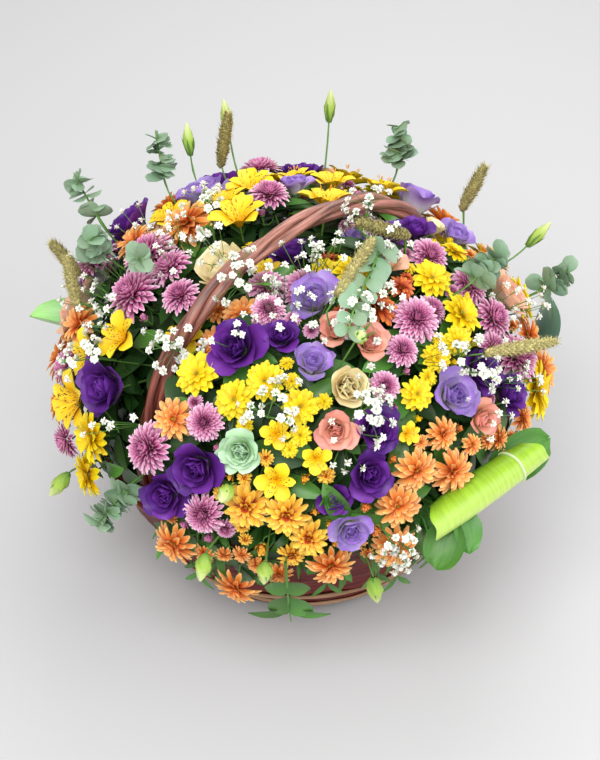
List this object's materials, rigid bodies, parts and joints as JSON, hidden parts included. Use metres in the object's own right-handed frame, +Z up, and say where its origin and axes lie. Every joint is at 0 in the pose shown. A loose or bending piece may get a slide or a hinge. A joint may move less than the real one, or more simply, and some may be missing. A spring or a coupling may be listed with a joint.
{
  "type": "flower basket arrangement",
  "caption": "Dense dome of mixed flowers with filler foliage, standing in floral foam inside a flared woven willow basket with a tall twisted cane handle.",
  "frame": {"origin": "centre of the basket's flat base, on the surface that it stands on", "axes": "+Z up, the arrangement's front faces -Y, +X to its right as seen from the front"},
  "size_m": [0.5787, 0.5311, 0.4318],
  "materials": {
    "basket_wicker": "varnished",
    "rim_wicker": "varnished",
    "band_wicker": "natural",
    "handle_cane": "stained",
    "liner_plastic": "matte",
    "floral_foam": "matte",
    "yellow_daisies": "petals",
    "yellow_alstroemerias": "petals",
    "orange_mums": "petals",
    "rust_mums": "petals",
    "gold_mums": "petals",
    "pink_mums": "petals",
    "violet_lisianthus": "petals",
    "lilac_lisianthus": "petals",
    "salmon_roses": "petals",
    "peach_roses": "petals",
    "cream_roses": "petals",
    "mint_rose": "petals",
    "eucalyptus": "leaves",
    "grass_heads": "seed heads",
    "gypsophila": "petals",
    "lisianthus_buds": "buds",
    "pale_leaf": "leaf",
    "blue_leaf": "leaf",
    "bright_leaf": "leaf",
    "dark_leaf": "leaf"
  },
  "bodies": {
    "root": {"alstroemerias_yellow_front": "yellow_alstroemerias", "alstroemerias_yellow_left": "yellow_alstroemerias", "alstroemerias_yellow_top_back": "yellow_alstroemerias", "alstroemerias_yellow_top_left": "yellow_alstroemerias", "basket_bands": "band_wicker", "basket_rim": "rim_wicker", "basket_wall": "basket_wicker", "daisies_yellow_back": "yellow_daisies", "daisies_yellow_front": "yellow_daisies", "daisies_yellow_low_left": "yellow_daisies", "daisies_yellow_right": "yellow_daisies", "daisies_yellow_right_edge": "yellow_daisies", "daisies_yellow_top": "yellow_daisies", "eucalyptus_left": "eucalyptus", "eucalyptus_low_left": "eucalyptus", "eucalyptus_right": "eucalyptus", "floral_foam": "floral_foam", "grass_heads_left": "grass_heads", "grass_heads_right": "grass_heads", "gypsophila_left": "gypsophila", "gypsophila_right": "gypsophila", "handle_rod_1": "handle_cane", "handle_rod_2": "handle_cane", "handle_rod_3": "handle_cane", "leaf_blue_right": "blue_leaf", "leaf_folded_left": "pale_leaf", "leaf_rolled_front_right": "bright_leaf", "leaves_hanging_front": "dark_leaf", "liner": "liner_plastic", "lisianthus_buds_back": "lisianthus_buds", "lisianthus_buds_front": "lisianthus_buds", "lisianthus_lilac_back": "lilac_lisianthus", "lisianthus_lilac_front": "lilac_lisianthus", "lisianthus_lilac_right": "lilac_lisianthus", "lisianthus_violet_back": "violet_lisianthus", "lisianthus_violet_front": "violet_lisianthus", "lisianthus_violet_left": "violet_lisianthus", "lisianthus_violet_right": "violet_lisianthus", "lisianthus_violet_top": "violet_lisianthus", "mums_gold_front": "gold_mums", "mums_orange_back": "orange_mums", "mums_orange_left": "orange_mums", "mums_orange_left_edge": "orange_mums", "mums_orange_low_front": "orange_mums", "mums_orange_right": "orange_mums", "mums_orange_right_edge": "orange_mums", "mums_orange_top": "rust_mums", "mums_orange_top_left": "orange_mums", "mums_pink_back": "pink_mums", "mums_pink_front_left": "pink_mums", "mums_pink_front_right": "pink_mums", "mums_pink_left": "pink_mums", "mums_pink_left_edge": "pink_mums", "mums_pink_right": "pink_mums", "mums_pink_top": "pink_mums", "rose_mint": "mint_rose", "roses_cream": "cream_roses", "roses_peach_back": "peach_roses", "roses_peach_front": "salmon_roses", "roses_peach_side": "peach_roses"}
  },
  "joints": []
}
